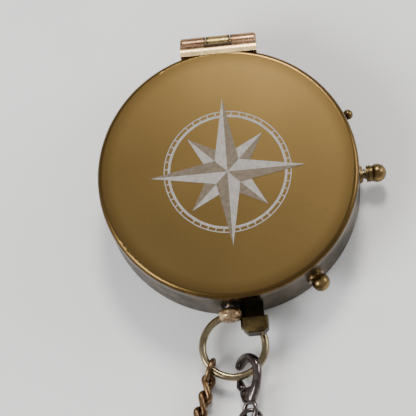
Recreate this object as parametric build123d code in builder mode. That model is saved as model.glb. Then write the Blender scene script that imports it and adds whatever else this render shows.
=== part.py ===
from build123d import *

import os
from math import asin, ceil, cos, radians, sin, sqrt, tan

# Pocket compass with a hinged lid, a jewelled needle and its clamp, a lid catch, a bow ring, a chain and a clasp.
# Millimetres. The origin is the centre of the back. +Z goes up through the lid, +Y to the hinge, +X to the clamp.

os.makedirs("parts", exist_ok=True)

# Clearances
seat_gap = 0.02
running_gap = 0.08
moving_gap = 0.2

# Case
case_radius = 25.7
case_height = 11.1
case_wall = 1.4
case_floor = 1.2
case_edge_round = 1.2
dial_seat_depth = 5.1
dial_seat_width = 1.5

# Dial, degree ring, glass and bezel
dial_thickness = 0.5
degree_ring_width = 2.0
degree_ring_height = 3.3
degree_ring_chamfer = 0.6
crystal_thickness = 1.0
bezel_leg = 0.65
bezel_lip_width = 1.2
bezel_lip_height = 0.6

# Lid
lid_overhang = 0.3
lid_height = 2.75
lid_gap = 0.15
lid_skirt = 0.8
lid_top = 0.7
lid_crown = 0.3
lid_edge_round = 1.0

# Hinge
hinge_width = 15.3
hinge_centre_width = 4.8
hinge_side_gap = 0.15
hinge_reach = 2.3
knuckle_radius = 1.6
hinge_pin_radius = 0.7
hinge_leaf_overlap = 0.9
hinge_leaf_proud = 0.12
hinge_end_round = 0.5
case_leaf_drop = 4.0

# Needle, its pivot and its cap
pivot_radius = 0.9
pivot_foot_radius = 2.6
pivot_foot_height = 0.6
pivot_tip_rise = 0.35
pivot_taper = 1.2
pivot_point_radius = 0.3
pivot_point_length = 0.84
needle_length = 38.0
needle_width = 4.2
needle_tip_width = 0.5
needle_thickness = 0.3
needle_over_dial = 0.85
cap_neck_radius = 1.28
cap_flange_radius = 1.75
cap_flange_thickness = 0.2
cap_dome_height = 0.75
jewel_radius = 0.8
jewel_cup_radius = 0.55

# Needle lifter: a collar on the pivot, raised by a forked lever
collar_wall = 0.42
collar_flange_radius = 2.1
collar_flange_thickness = 0.4
collar_needle_gap = 0.2
lever_pivot_x = 10.0
lever_height = 3.2
lever_thickness = 0.6
lever_width = 2.2
lever_barrel_radius = 0.9
lever_fork_reach = 2.0
lever_tine_width = 0.75
lever_fork_root = 3.6
lever_cam_rise = 0.5
lever_pin_radius = 0.4
bracket_ear = 0.6
bracket_base = 0.5

# Clamp button at three o'clock
clamp_height = 4.2
bush_radius = 1.4
bush_flange_radius = 1.85
bush_flange_length = 1.0
spot_face_depth = 0.3
clamp_stem_radius = 0.8
clamp_nose_x = 17.4
clamp_ball_radius = 1.85
clamp_ball_reach = 2.2
clamp_neck_radius = 1.6
clamp_neck_gap = 0.7
clamp_recess_depth = 0.8
clip_radius = 1.2
clip_thickness = 0.35
spring_wire = 0.26
spring_side_gap = 0.08
spring_sides = 6
clamp_spring_turns = 3

# Fixed ball studs in the case wall
lower_stud_angle = -53.8
upper_stud_angle = 26.4
stud_drop = 4.9
stud_shank_radius = 0.8
lower_collar_radius = 1.9
lower_collar_length = 0.75
lower_ball_radius = 1.8
lower_ball_reach = 1.4
stud_neck_radius = 1.2
upper_collar_radius = 1.1
upper_collar_length = 0.5
upper_ball_radius = 1.05
upper_ball_reach = 1.5
upper_neck_radius = 0.7

# Release button and lid catch at six o'clock
release_x = -2.0
release_over_dial = 1.0
release_head_radius = 2.35
release_head_length = 2.5
release_head_round = 1.1
release_travel_gap = 0.65
release_bush_radius = 1.25
release_bush_flange_radius = 1.8
release_bush_flange_length = 0.35
release_stem_radius = 0.75
release_recess_depth = 1.0
release_spring_turns = 4
catch_width = 2.4
catch_thickness = 0.45
catch_over_lip = 0.1
catch_nose_height = 0.5
catch_lip_gap = 0.12
catch_slot_gap = 0.3
catch_travel = 0.6
lip_depth = 0.6
lip_height = 0.5
lip_width = 3.2
lip_lift = 0.25

# Ring lug: a chamfered head on a neck, with the eye for the bow ring under it
lug_x = 2.8
lug_head_width = 5.05
lug_head_depth = 3.4
lug_head_height = 3.0
lug_head_chamfer = 1.0
lug_head_drop = 1.9
lug_projection = 6.1
lug_neck_width = 3.6
lug_neck_sink = 0.4
lug_eye_x = 0.6
lug_eye_width = 1.7
lug_eye_radius = 2.5
lug_hole_radius = 1.4
lug_hole_stand = 1.55
lug_hole_drop = 1.8
lug_rivet_radius = 0.9

# Bow ring, turned in plan from the hole's axis and drooping towards its far end
bow_radius = 6.25
bow_wire_radius = 0.75
bow_turn = 25.0
bow_droop = 2.2

# Chain, its end rings and the clasp
end_ring_radius = 2.2
end_ring_wire_radius = 0.45
bow_hook_room = 1.3
end_ring_turn = -12.0
end_ring_dip = 30.0
tail_slope = 14.0
link_length = 4.7
link_width = 2.6
link_wire_radius = 0.4
link_gap = 0.5
link_sides = 5
link_twist = 90.0
link_stations = (0, 50, 89, 91, 130, 180)
chain_height = 1.6
chain_bow_angle = -27.0
clasp_bow_angle = 48.5
chain_heading = (-0.18, -0.984)
clasp_heading = (0.01, 1.0)
clasp_roll = 47.0
clasp_hook_u = 7.6
clasp_hook_radius = 3.45
clasp_tail_u = 1.6
clasp_tail_radius = 1.75
clasp_hook_thickness = 1.2
clasp_body_thickness = 2.2
clasp_body_end = 4.3
clasp_opening_u = 7.45
clasp_opening_radius = 2.15
clasp_throat_u = 4.5
clasp_throat_radius = 0.8
clasp_gate_start = 4.6
clasp_gate_end = 8.7
clasp_gate_inner = 0.5
clasp_eye_radius = 2.2
clasp_eye_hole_radius = 1.35
clasp_ring_u = 7.4
clasp_ring_v = 0.35
clasp_lever_thickness = 0.8
clasp_lever_slot = 1.1
clasp_pivot_u = 3.2
clasp_pivot_v = 1.0
clasp_lever_tip = 8.2
clasp_lever_inner = 2.35
clasp_lever_outer = 3.3
clasp_lever_throat = 1.75
clasp_trigger_radius = 0.65
clasp_trigger_u = 5.2
clasp_trigger_v = 2.9
clasp_pin_radius = 0.4
lever_boss_radius = 0.95

# Route of the chain, from the end ring on the bow ring to the end ring on the clasp
chain_points = [
    (-16.4, -57.5),
    (-22.6, -64.6),
    (-26.6, -73.4),
    (-27.8, -82.8),
    (-26.4, -91.4),
    (-20.8, -97.6),
    (-12.6, -97.6),
    (-7.1, -91.4),
    (-6.2, -82.4),
    (-6.2, -74.8),
    (-1.8, -68.6),
    (6.4, -68.6),
    (11.9, -74.6),
    (12.6, -82.0),
    (11.8, -91.4),
    (17.2, -97.6),
    (25.4, -97.6),
    (30.9, -91.4),
    (31.6, -82.6),
    (29.6, -74.0),
    (25.0, -66.6),
    (17.0, -64.2),
    (9.2, -63.6),
    (2.6, -61.0),
]
chain_lead = 6.0
arc_share = 0.45

# Places worked out from the sizes above
bore_radius = case_radius - case_wall
dial_seat_radius = bore_radius - dial_seat_width
dial_seat_height = case_height - dial_seat_depth
dial_top = dial_seat_height + dial_thickness
crystal_floor = dial_top + degree_ring_height
crystal_top = crystal_floor + crystal_thickness
crystal_radius = bore_radius - bezel_leg - 2 * seat_gap
lid_radius = case_radius + lid_overhang
lid_floor = case_height + lid_gap
lid_peak = lid_floor + lid_height
hinge_y = lid_radius + hinge_reach
hinge_z = case_height
needle_height = dial_top + needle_over_dial
needle_top = needle_height + needle_thickness
pivot_tip_height = needle_height + pivot_tip_rise
cap_floor = needle_height - cap_flange_thickness
collar_inner = pivot_radius + running_gap
collar_outer = collar_inner + collar_wall
collar_top = cap_floor - collar_needle_gap
tine_inner = collar_inner + moving_gap
lever_floor = lever_height - lever_thickness / 2
lever_top = lever_height + lever_thickness / 2
spot_face = case_radius - spot_face_depth
bush_end = spot_face + bush_flange_length
clamp_neck_x = bush_end + clamp_neck_gap
clamp_ball_x = clamp_neck_x + clamp_ball_reach
stem_bore_radius = clamp_stem_radius + running_gap
release_wall = sqrt(case_radius**2 - release_x**2)
release_inner = sqrt(bore_radius**2 - release_x**2)
release_spot = release_wall - spot_face_depth
release_bush_end = release_spot + release_bush_flange_length
release_head_start = release_bush_end + release_travel_gap
release_height = dial_top + release_over_dial
catch_top = lid_floor + lip_lift + lip_height + catch_over_lip + catch_nose_height
stud_height = case_height - stud_drop
lug_reach = case_radius + lug_projection
lug_head_floor = release_height - lug_head_drop
lug_hole_height = lug_head_floor - lug_hole_drop
lug_hole_y = -case_radius - lug_hole_stand
Z_AXIS = Vector(0, 0, 1)


def outline(*points):
    """Closed face through the points, in the sketch that is being made."""
    with BuildLine() as border:
        Polyline(*points, close=True)
    make_face(border.edges())


def turned(origin, direction, *points):
    """Turned piece along a level axis: each point is a distance along it and a radius."""
    across = Vector(direction).cross(Z_AXIS)
    with BuildSketch(Plane(origin=origin, x_dir=direction, z_dir=across)) as profile:
        outline(*points)
    revolve(profile.sketch, axis=Axis(origin, direction))


def bored(origin, direction, start, radius, length):
    """Round hole along a direction, from a distance along it."""
    with BuildSketch(Plane(origin=origin, z_dir=direction).offset(start)) as mouth:
        Circle(radius)
    extrude(mouth.sketch, amount=length, mode=Mode.SUBTRACT)


def heading(angle):
    """Level direction at an angle from +X."""
    return Vector(cos(radians(angle)), sin(radians(angle)), 0)


def finished(builder, name):
    """Label a finished sub-part and write it."""
    builder.part.label = name
    export_step(builder.part, f"parts/{name}.step")


clamp_origin = (0, 0, clamp_height)
clamp_direction = (1, 0, 0)
release_origin = (release_x, 0, release_height)
release_direction = (0, -1, 0)
stud_origin = (0, 0, stud_height)
lower_direction = heading(lower_stud_angle)
upper_direction = heading(upper_stud_angle)
lug_rivet_height = lug_head_floor + lug_rivet_radius
lug_rivet_origin = (lug_x, 0, lug_rivet_height)

# Case cup, with its dial seat, bush holes, stud holes and spot faces
with BuildPart() as case_cup:
    with BuildSketch(Plane.XZ):
        outline(
            (0, 0),
            (case_radius, 0),
            (case_radius, case_height),
            (bore_radius, case_height),
            (bore_radius, dial_seat_height),
            (dial_seat_radius, dial_seat_height),
            (dial_seat_radius, case_floor),
            (0, case_floor),
        )
    revolve(axis=Axis.Z)
    fillet(case_cup.edges().group_by(Axis.Z)[0], case_edge_round)
    through = case_wall + dial_seat_width
    bored(clamp_origin, clamp_direction, dial_seat_radius - through, bush_radius + seat_gap, 3 * through)
    bored(clamp_origin, clamp_direction, spot_face, bush_flange_radius + seat_gap, through)
    release_start = release_inner - case_wall
    bored(release_origin, release_direction, release_start, release_bush_radius + seat_gap, 2 * through)
    bored(release_origin, release_direction, release_spot, release_bush_flange_radius + seat_gap, through)
    rivet_start = bore_radius - case_wall
    bored(lug_rivet_origin, release_direction, rivet_start, lug_rivet_radius + seat_gap, 2 * through)
    bored(stud_origin, lower_direction, dial_seat_radius, stud_shank_radius + seat_gap, through)
    bored(stud_origin, lower_direction, spot_face, lower_collar_radius + seat_gap, through)
    bored(stud_origin, upper_direction, dial_seat_radius, stud_shank_radius + seat_gap, through)
    bored(stud_origin, upper_direction, spot_face, upper_collar_radius + seat_gap, through)
    bored((0, 0, 0), (0, 0, 1), case_floor / 2, pivot_radius + seat_gap, case_floor)
finished(case_cup, "case_cup")

# Lid: a shallow crowned cap with a rounded edge, open below, and the lip that its catch holds
lid_shoulder = lid_peak - lid_crown
lid_inner = lid_radius - lid_skirt


def crowned(radius, floor, shoulder, peak):
    """Half profile of a disc with a crowned top, in the sketch that is being made."""
    with BuildLine() as border:
        ThreePointArc((-radius, shoulder), (0, peak), (radius, shoulder))
        Polyline((radius, shoulder), (radius, floor), (-radius, floor), (-radius, shoulder))
    make_face(border.edges())
    split(bisect_by=Plane.YZ, keep=Keep.TOP)


with BuildPart() as lid_block:
    with BuildSketch(Plane.XZ) as lid_profile:
        crowned(lid_radius, lid_floor, lid_shoulder, lid_peak)
        fillet(lid_profile.vertices().group_by(Axis.X)[-1].sort_by(Axis.Y)[-1], lid_edge_round)
    revolve(axis=Axis.Z)

with BuildPart() as lid_shell:
    add(lid_block.part)
    with BuildSketch(Plane.XZ):
        crowned(lid_inner, lid_floor, lid_shoulder - lid_top, lid_peak - lid_top)
    revolve(axis=Axis.Z, mode=Mode.SUBTRACT)
finished(lid_shell, "lid_shell")

with BuildPart() as lid_catch_lip:
    lip_floor = lid_floor + lip_lift
    with BuildSketch(Plane.XY.offset(lip_floor)):
        Circle(lid_inner - seat_gap)
        Circle(lid_inner - lip_depth, mode=Mode.SUBTRACT)
        with Locations((release_x, -lid_inner)):
            Rectangle(lip_width, lid_inner, mode=Mode.INTERSECT)
    extrude(amount=lip_height)
finished(lid_catch_lip, "lid_catch_lip")

# Hinge: the case's middle knuckle on its leaf, the lid's strap with two knuckles, and the pin
hinge_plane = Plane(origin=(0, hinge_y, hinge_z), x_dir=(0, 1, 0), z_dir=(1, 0, 0))
leaf_inner = -hinge_reach - hinge_leaf_overlap

with BuildPart() as case_hinge_knuckle:
    with BuildSketch(hinge_plane):
        Circle(knuckle_radius)
        outline(
            (0, knuckle_radius),
            (-knuckle_radius, 0),
            (leaf_inner, -lid_gap),
            (leaf_inner, -case_leaf_drop),
            (0, -knuckle_radius),
        )
    extrude(amount=hinge_centre_width / 2, both=True)
    with BuildSketch():
        Circle(case_radius + seat_gap)
    extrude(amount=case_height, mode=Mode.SUBTRACT)
    with BuildSketch(hinge_plane):
        Circle(hinge_pin_radius + seat_gap)
    extrude(amount=hinge_centre_width, both=True, mode=Mode.SUBTRACT)
finished(case_hinge_knuckle, "case_hinge_knuckle")

with BuildPart() as lid_hinge_strap:
    leaf_top = lid_shoulder + hinge_leaf_proud - hinge_z
    with BuildSketch(hinge_plane):
        Circle(knuckle_radius)
    extrude(amount=hinge_width / 2, both=True)
    fillet(lid_hinge_strap.edges().filter_by(GeomType.CIRCLE), hinge_end_round)
    with BuildSketch(hinge_plane):
        with BuildLine():
            strap_top = Line((leaf_inner, leaf_top), (leaf_inner + hinge_leaf_overlap, leaf_top))
            strap_bend = TangentArc(strap_top @ 1, (-knuckle_radius / 4, knuckle_radius), tangent=strap_top % 1)
            Polyline(strap_bend @ 1, (-knuckle_radius, lid_gap), (leaf_inner, lid_gap), strap_top @ 0)
        make_face()
    extrude(amount=hinge_width / 2, both=True)
    add(lid_block.part, mode=Mode.SUBTRACT)
    with BuildSketch(Plane.XY.offset(lid_floor)):
        Circle(lid_radius + seat_gap)
    extrude(amount=lid_shoulder - lid_edge_round - lid_floor, mode=Mode.SUBTRACT)
    notch_reach = knuckle_radius + moving_gap
    with BuildSketch(hinge_plane):
        Circle(notch_reach)
        with Locations((notch_reach, 0)):
            Rectangle(2 * notch_reach, 4 * notch_reach)
    extrude(amount=hinge_centre_width / 2 + hinge_side_gap, both=True, mode=Mode.SUBTRACT)
    with BuildSketch(hinge_plane):
        Circle(hinge_pin_radius + running_gap)
    extrude(amount=hinge_width, both=True, mode=Mode.SUBTRACT)
finished(lid_hinge_strap, "lid_hinge_strap")

with BuildPart() as hinge_pin:
    with BuildSketch(hinge_plane):
        Circle(hinge_pin_radius)
    extrude(amount=hinge_width / 2, both=True)
finished(hinge_pin, "hinge_pin")

# Dial, degree ring, glass and bezel, stacked in the case's mouth and slotted for the catch
catch_face = release_inner - seat_gap - case_wall
slot_inner = catch_face - catch_thickness - catch_travel - catch_slot_gap
slot_width = catch_width + 2 * catch_slot_gap


def slotted(floor, height):
    """Slot through a ring for the catch, open to the case wall."""
    with BuildSketch(Plane.XY.offset(floor)) as slot:
        with Locations((release_x, -(slot_inner + case_radius) / 2)):
            Rectangle(slot_width, case_radius - slot_inner)
    extrude(slot.sketch, amount=height, mode=Mode.SUBTRACT)


with BuildPart() as dial_plate:
    with BuildSketch(Plane.XY.offset(dial_seat_height)):
        Circle(bore_radius - seat_gap)
        Circle(collar_outer + moving_gap, mode=Mode.SUBTRACT)
    extrude(amount=dial_thickness)
finished(dial_plate, "dial_plate")

with BuildPart() as degree_ring:
    with BuildSketch(Plane.XY.offset(dial_top)):
        Circle(bore_radius - seat_gap)
        Circle(bore_radius - seat_gap - degree_ring_width, mode=Mode.SUBTRACT)
    extrude(amount=degree_ring_height)
    ring_rims = degree_ring.edges().filter_by(GeomType.CIRCLE).group_by(Axis.Z)[-1]
    chamfer(ring_rims.sort_by(SortBy.RADIUS)[0], degree_ring_chamfer)
    slotted(dial_top, degree_ring_height)
finished(degree_ring, "degree_ring")

with BuildPart() as crystal:
    with BuildSketch(Plane.XY.offset(crystal_floor)):
        Circle(crystal_radius)
    extrude(amount=crystal_thickness)
    slotted(crystal_floor, crystal_thickness)
finished(crystal, "crystal")

with BuildPart() as bezel_ring:
    with BuildSketch(Plane.XZ):
        outline(
            (crystal_radius + seat_gap, crystal_floor),
            (bore_radius - seat_gap, crystal_floor),
            (bore_radius - seat_gap, crystal_top + bezel_lip_height),
            (crystal_radius - bezel_lip_width, crystal_top + bezel_lip_height),
            (crystal_radius - bezel_lip_width, crystal_top),
            (crystal_radius + seat_gap, crystal_top),
        )
    revolve(axis=Axis.Z)
    chamfer(bezel_ring.edges().group_by(Axis.Z)[-1], bezel_lip_height / 3)
    slotted(crystal_floor, crystal_thickness + bezel_lip_height)
finished(bezel_ring, "bezel_ring")

# Pivot post, riveted in the floor, with the needle's cap and jewel on its point
with BuildPart() as pivot_post:
    with BuildSketch(Plane.XZ):
        outline(
            (0, case_floor / 2),
            (pivot_radius, case_floor / 2),
            (pivot_radius, case_floor),
            (pivot_foot_radius, case_floor),
            (pivot_foot_radius, case_floor + pivot_foot_height),
            (pivot_radius, case_floor + pivot_foot_height),
            (pivot_radius, pivot_tip_height - pivot_taper),
            (pivot_point_radius, pivot_tip_height - pivot_point_length),
            (0, pivot_tip_height),
        )
    revolve(axis=Axis.Z)
finished(pivot_post, "pivot_post")

with BuildPart() as needle_jewel:
    jewel_top = needle_top + cap_dome_height / 3
    with BuildSketch(Plane.XZ):
        outline(
            (jewel_cup_radius, cap_floor),
            (jewel_radius, cap_floor),
            (jewel_radius, jewel_top),
            (0, jewel_top),
            (0, pivot_tip_height + moving_gap / 4),
        )
    revolve(axis=Axis.Z)
finished(needle_jewel, "needle_jewel")

with BuildPart() as needle_cap:
    cap_peak = needle_top + cap_dome_height
    dome_radius = (cap_flange_radius**2 + cap_dome_height**2) / (2 * cap_dome_height)
    dome_half = asin(cap_flange_radius / dome_radius) / 2
    dome_middle = (dome_radius * sin(dome_half), cap_peak - dome_radius * (1 - cos(dome_half)))
    with BuildSketch(Plane.XZ):
        with BuildLine():
            Polyline(
                (jewel_radius + seat_gap, cap_floor),
                (cap_flange_radius, cap_floor),
                (cap_flange_radius, needle_height),
                (cap_neck_radius, needle_height),
                (cap_neck_radius, needle_top),
                (cap_flange_radius, needle_top),
            )
            ThreePointArc((cap_flange_radius, needle_top), dome_middle, (0, cap_peak))
            Polyline(
                (0, cap_peak),
                (0, jewel_top + seat_gap),
                (jewel_radius + seat_gap, jewel_top + seat_gap),
                (jewel_radius + seat_gap, cap_floor),
            )
        make_face()
    revolve(axis=Axis.Z)
finished(needle_cap, "needle_cap")

with BuildPart() as needle_blade:
    with BuildSketch(Plane.XY.offset(needle_height)):
        outline(
            (needle_tip_width / 2, needle_length / 2),
            (needle_width / 2, 0),
            (needle_tip_width / 2, -needle_length / 2),
            (-needle_tip_width / 2, -needle_length / 2),
            (-needle_width / 2, 0),
            (-needle_tip_width / 2, needle_length / 2),
        )
        Circle(cap_neck_radius + seat_gap, mode=Mode.SUBTRACT)
    extrude(amount=needle_thickness)
finished(needle_blade, "needle_blade")

# Needle lifter: collar, forked lever, its pin and bracket
with BuildPart() as lifter_collar:
    collar_floor = lever_top + running_gap
    with BuildSketch(Plane.XZ):
        outline(
            (collar_inner, collar_floor),
            (collar_flange_radius, collar_floor),
            (collar_flange_radius, collar_floor + collar_flange_thickness),
            (collar_outer, collar_floor + collar_flange_thickness),
            (collar_outer, collar_top),
            (collar_inner, collar_top),
        )
    revolve(axis=Axis.Z)
finished(lifter_collar, "lifter_collar")

lever_plane = Plane(origin=(lever_pivot_x, 0, lever_height), x_dir=(1, 0, 0), z_dir=(0, -1, 0))
cam_line = clamp_nose_x + clamp_height - running_gap
cam_top = lever_top + lever_cam_rise

with BuildPart() as lifter_lever:
    with BuildSketch(Plane.XZ):
        outline(
            (lever_fork_root, lever_floor),
            (cam_line - lever_top, lever_floor),
            (cam_line - lever_top, lever_top),
            (cam_line - cam_top, cam_top),
            (cam_line - cam_top - lever_cam_rise, cam_top),
            (cam_line - cam_top - 2 * lever_cam_rise, lever_top),
            (lever_fork_root, lever_top),
        )
    extrude(amount=lever_width / 2, both=True)
    with BuildSketch(lever_plane):
        Circle(lever_barrel_radius)
    extrude(amount=lever_width / 2, both=True)
    with BuildSketch(Plane.XY.offset(lever_floor)):
        tine_length = lever_fork_root + lever_fork_reach
        with Locations((lever_fork_root - tine_length / 2, 0)):
            Rectangle(tine_length, 2 * (tine_inner + lever_tine_width))
        with Locations((lever_fork_root - lever_width - tine_length / 2, 0)):
            Rectangle(tine_length, 2 * tine_inner, mode=Mode.SUBTRACT)
    extrude(amount=lever_thickness)
    with BuildSketch(lever_plane):
        Circle(lever_pin_radius + running_gap)
    extrude(amount=lever_width, both=True, mode=Mode.SUBTRACT)
finished(lifter_lever, "lifter_lever")

with BuildPart() as lever_bracket:
    ear_inner = lever_width / 2 + moving_gap
    bracket_half = ear_inner + bracket_ear
    with BuildSketch(Plane.XY.offset(case_floor)):
        with Locations((lever_pivot_x, 0)):
            Rectangle(4 * lever_barrel_radius, 2 * bracket_half)
    extrude(amount=bracket_base)
    for side in (-1, 1):
        with BuildSketch(lever_plane.offset(side * (ear_inner + bracket_ear / 2))):
            Circle(lever_barrel_radius)
            with Locations((0, (case_floor - lever_height) / 2)):
                Rectangle(2 * lever_barrel_radius, lever_height - case_floor)
        extrude(amount=bracket_ear / 2, both=True)
    with BuildSketch(lever_plane):
        Circle(lever_pin_radius + seat_gap)
    extrude(amount=2 * bracket_half, both=True, mode=Mode.SUBTRACT)
finished(lever_bracket, "lever_bracket")

with BuildPart() as lever_pin:
    with BuildSketch(lever_plane):
        Circle(lever_pin_radius)
    extrude(amount=bracket_half, both=True)
finished(lever_pin, "lever_pin")


def spring_along(origin, direction, start, end, radius, turns):
    """Coil spring round an axis, between two distances along it."""
    length = end - start - spring_wire
    middle = Vector(origin) + Vector(direction) * (start + spring_wire / 2)
    with BuildLine() as coil:
        Helix(pitch=length / turns, height=length, radius=radius, center=middle, direction=direction)
    with BuildSketch(Plane(origin=coil.line @ 0, z_dir=coil.line % 0)) as section:
        RegularPolygon(spring_wire / 2, spring_sides)
    sweep(section.sketch, path=coil.line, is_frenet=True)


# Clamp button: bush, sprung ball-headed stem with a cone nose, and its clip
clamp_bush_inner = dial_seat_radius - clip_thickness

with BuildPart() as clamp_bush:
    turned(
        clamp_origin,
        clamp_direction,
        (clamp_bush_inner, stem_bore_radius),
        (clamp_bush_inner, bush_radius),
        (spot_face, bush_radius),
        (spot_face, bush_flange_radius),
        (spot_face + bush_flange_length / 2, bush_flange_radius),
        (bush_end, bush_flange_radius - bush_flange_length / 3),
        (bush_end, stem_bore_radius),
    )
finished(clamp_bush, "clamp_bush")

with BuildPart() as clamp_button:
    clamp_recess_radius = clamp_stem_radius + 2 * spring_side_gap + spring_wire
    clamp_recess_floor = clamp_neck_x + clamp_recess_depth
    with Locations((clamp_ball_x, 0, clamp_height)):
        Sphere(clamp_ball_radius)
    turned(
        clamp_origin,
        clamp_direction,
        (clamp_neck_x, 0),
        (clamp_neck_x, clamp_neck_radius),
        (clamp_ball_x, clamp_neck_radius),
        (clamp_ball_x, 0),
    )
    bored(clamp_origin, clamp_direction, bush_end, clamp_recess_radius, clamp_neck_gap + clamp_recess_depth)
    turned(
        clamp_origin,
        clamp_direction,
        (clamp_nose_x, 0),
        (clamp_nose_x + clamp_stem_radius, clamp_stem_radius),
        (clamp_ball_x, clamp_stem_radius),
        (clamp_ball_x, 0),
    )
finished(clamp_button, "clamp_button")

with BuildPart() as clamp_spring:
    spring_radius = clamp_stem_radius + spring_side_gap + spring_wire / 2
    spring_along(clamp_origin, clamp_direction, bush_end, clamp_recess_floor, spring_radius, clamp_spring_turns)
finished(clamp_spring, "clamp_spring")

with BuildPart() as clamp_clip:
    with BuildSketch(Plane(origin=clamp_origin, z_dir=clamp_direction).offset(clamp_bush_inner - running_gap)):
        Circle(clip_radius)
        Circle(clamp_stem_radius + seat_gap / 2, mode=Mode.SUBTRACT)
    extrude(amount=-clip_thickness)
finished(clamp_clip, "clamp_clip")

# Fixed studs
with BuildPart() as lower_ball_stud:
    lower_collar_end = spot_face + lower_collar_length
    lower_ball_centre = lower_collar_end + lower_ball_reach
    turned(
        stud_origin,
        lower_direction,
        (bore_radius, 0),
        (bore_radius, stud_shank_radius),
        (spot_face, stud_shank_radius),
        (spot_face, lower_collar_radius),
        (lower_collar_end, lower_collar_radius),
        (lower_collar_end, stud_neck_radius),
        (lower_ball_centre, stud_neck_radius),
        (lower_ball_centre, 0),
    )
    with Locations(Vector(stud_origin) + lower_direction * lower_ball_centre):
        Sphere(lower_ball_radius)
finished(lower_ball_stud, "lower_ball_stud")

with BuildPart() as upper_stud:
    upper_collar_end = spot_face + upper_collar_length
    upper_ball_centre = upper_collar_end + upper_ball_reach
    turned(
        stud_origin,
        upper_direction,
        (bore_radius, 0),
        (bore_radius, stud_shank_radius),
        (spot_face, stud_shank_radius),
        (spot_face, upper_collar_radius),
        (upper_collar_end, upper_collar_radius),
        (upper_collar_end, upper_neck_radius),
        (upper_ball_centre, upper_neck_radius),
        (upper_ball_centre, 0),
    )
    with Locations(Vector(stud_origin) + upper_direction * upper_ball_centre):
        Sphere(upper_ball_radius)
finished(upper_stud, "upper_stud")

# Release button: bush, domed head on a stem, spring in the head, and the catch on the stem's inner end
with BuildPart() as release_bush:
    turned(
        release_origin,
        release_direction,
        (release_inner, release_stem_radius + running_gap),
        (release_inner, release_bush_radius),
        (release_spot, release_bush_radius),
        (release_spot, release_bush_flange_radius),
        (release_bush_end, release_bush_flange_radius),
        (release_bush_end, release_stem_radius + running_gap),
    )
finished(release_bush, "release_bush")

with BuildPart() as release_button:
    head_end = release_head_start + release_head_length
    recess_radius = release_stem_radius + 2 * spring_side_gap + spring_wire
    recess_floor = release_head_start + release_recess_depth
    turned(
        release_origin,
        release_direction,
        (catch_face - catch_thickness, 0),
        (catch_face - catch_thickness, release_stem_radius),
        (recess_floor, release_stem_radius),
        (recess_floor, recess_radius),
        (release_head_start, recess_radius),
        (release_head_start, release_head_radius),
        (head_end, release_head_radius),
        (head_end, 0),
    )
    rim_edges = release_button.edges().filter_by(GeomType.CIRCLE).sort_by(SortBy.RADIUS)[-2:]
    fillet(rim_edges, release_head_round)
finished(release_button, "release_button")

with BuildPart() as release_spring:
    coil_radius = release_stem_radius + spring_side_gap + spring_wire / 2
    coil_start = release_bush_end
    spring_along(release_origin, release_direction, coil_start, recess_floor, coil_radius, release_spring_turns)
finished(release_spring, "release_spring")

with BuildPart() as lid_catch:
    catch_y = -catch_face
    nose_corner = abs(release_x) + catch_width / 2
    nose_y = -(sqrt((lid_inner - lip_depth) ** 2 - nose_corner**2) - catch_lip_gap)
    catch_floor = dial_top + moving_gap
    with BuildSketch(Plane(origin=(release_x, 0, 0), x_dir=(0, 1, 0), z_dir=(1, 0, 0))):
        outline(
            (catch_y, catch_floor),
            (catch_y + catch_thickness, catch_floor),
            (catch_y + catch_thickness, catch_top),
            (nose_y, catch_top - catch_nose_height / 2),
            (nose_y, catch_top - catch_nose_height),
            (catch_y, catch_top - catch_nose_height),
        )
    extrude(amount=catch_width / 2, both=True)
    bored(release_origin, release_direction, slot_inner, release_stem_radius + seat_gap / 2, 2 * case_wall)
finished(lid_catch, "lid_catch")

# Ring lug
with BuildPart() as ring_lug:
    with BuildSketch(Plane.XY.offset(lug_head_floor)):
        with Locations((lug_x, -lug_reach + lug_head_depth / 2)):
            Rectangle(lug_head_width, lug_head_depth)
    extrude(amount=lug_head_height)
    chamfer(ring_lug.edges().filter_by(Axis.Z).group_by(Axis.Y)[0], lug_head_chamfer)
    chamfer(ring_lug.faces().sort_by(Axis.Z)[-1].edges(), lug_head_chamfer / 4)
    neck_depth = lug_reach - bore_radius
    with BuildSketch(Plane.XY.offset(lug_head_floor - lug_neck_sink)):
        with Locations((lug_x, -lug_reach + lug_head_depth / 2 + neck_depth / 2)):
            Rectangle(lug_neck_width, neck_depth)
    extrude(amount=lug_head_height - lug_head_chamfer + lug_neck_sink)
    eye_plane = Plane(origin=(lug_eye_x, lug_hole_y, lug_hole_height), x_dir=(0, 1, 0), z_dir=(1, 0, 0))
    with BuildSketch(eye_plane):
        Circle(lug_eye_radius)
        with Locations((0, (lug_head_floor - lug_hole_height) / 2)):
            Rectangle(2 * lug_eye_radius, lug_head_floor - lug_hole_height)
        with Locations((0, lug_head_floor - lug_hole_height + lug_eye_radius)):
            Rectangle(4 * lug_eye_radius, 2 * lug_eye_radius, mode=Mode.SUBTRACT)
    extrude(amount=lug_eye_width / 2, both=True)
    with BuildSketch():
        Circle(case_radius + seat_gap)
    extrude(amount=2 * case_height, mode=Mode.SUBTRACT)
    with BuildSketch(eye_plane):
        Circle(lug_hole_radius)
    extrude(amount=lug_eye_width, both=True, mode=Mode.SUBTRACT)
    turned(
        lug_rivet_origin,
        release_direction,
        (bore_radius, 0),
        (bore_radius, lug_rivet_radius),
        (lug_reach - lug_head_depth, lug_rivet_radius),
        (lug_reach - lug_head_depth, 0),
    )
finished(ring_lug, "ring_lug")

# Bow ring: it turns about its own tangent inside the lug's eye
bow_pivot = Vector(lug_eye_x, lug_hole_y, lug_hole_height)
bow_tangent = heading(180 - bow_turn)
bow_level = heading(270 - bow_turn)
bow_down = bow_level * cos(radians(bow_droop)) - Z_AXIS * sin(radians(bow_droop))
bow_centre = bow_pivot + bow_down * bow_radius
bow_plane = Plane(origin=bow_centre, x_dir=bow_down, z_dir=bow_tangent.cross(bow_down))


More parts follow.
